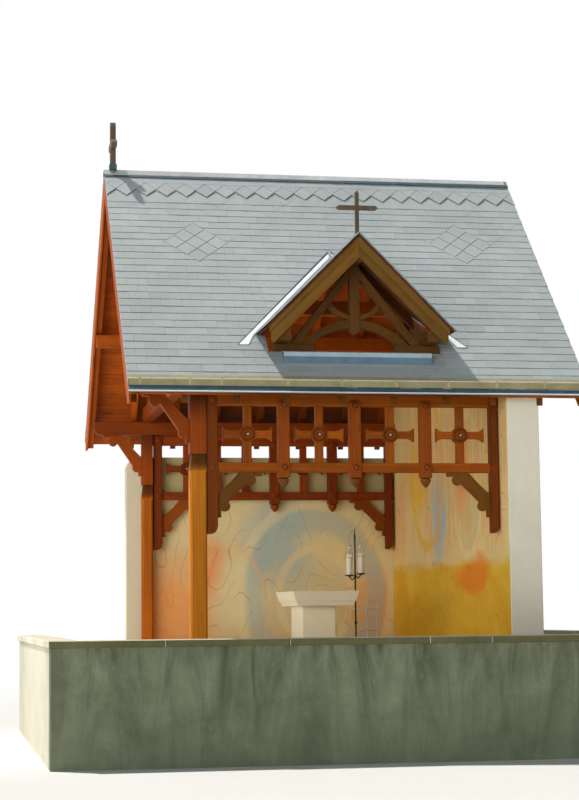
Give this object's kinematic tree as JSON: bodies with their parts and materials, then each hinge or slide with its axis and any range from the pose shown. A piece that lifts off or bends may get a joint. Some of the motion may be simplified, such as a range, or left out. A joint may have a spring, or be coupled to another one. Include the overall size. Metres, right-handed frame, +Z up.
{
  "type": "open chapel",
  "caption": "Small open chapel on a low terrace: slated saddle roof with an open timber dormer, carved timber friezes, plastered back and side walls, stone altar",
  "frame": {"origin": "centre of the bounding box in plan, at the foot of the terrace walls", "axes": "X along the ridge, Y from the open front to the back wall, Z up"},
  "size_m": [7.54, 7.91, 8.29],
  "materials": {
    "timber": "oiled, planed",
    "aged_timber": "weathered",
    "plaster": "lime plaster with washes of colour",
    "render": "stained cement render",
    "stone": "pale limestone",
    "slate": "natural split slate",
    "zinc": "dull zinc sheet",
    "iron": "black paint",
    "white_paint": "white paint",
    "wax": "white wax"
  },
  "bodies": {
    "root": {"terrace_front_wall": "render", "terrace_side_walls": "render", "terrace_rear_wall": "render", "terrace_coping": "stone", "floor_slab": "stone", "back_wall": "plaster", "right_wall": "plaster", "posts": "timber", "wall_plates": "timber", "tie_beam": "timber", "overhang_braces": "timber", "gable_truss": "timber", "purlins": "timber", "rafters_front": "timber", "rafters_rear": "timber", "boards_front": "timber", "boards_rear": "timber", "slates_front": "slate", "slates_rear": "slate", "ridge_cap": "zinc", "barge_boards": "timber", "gutters": "zinc", "front_frieze_rails": "timber", "front_frieze_stiles": "timber", "front_frieze_crosses": "timber", "front_frieze_brackets": "timber", "rear_frieze_rails": "timber", "rear_frieze_stiles": "timber", "rear_frieze_crosses": "timber", "rear_frieze_brackets": "timber", "dormer_slates": "slate", "dormer_boards": "timber", "dormer_barge_boards": "aged_timber", "dormer_ridge_beam": "timber", "dormer_plates": "timber", "dormer_rafters": "timber", "dormer_sill_beam": "timber", "dormer_truss": "aged_timber", "dormer_flashings": "zinc", "dormer_cross": "aged_timber", "ridge_cross": "aged_timber", "altar_top": "stone", "altar_base": "stone", "candle_stand": "iron", "candles": "wax", "flower_stand": "white_paint"}
  },
  "joints": []
}
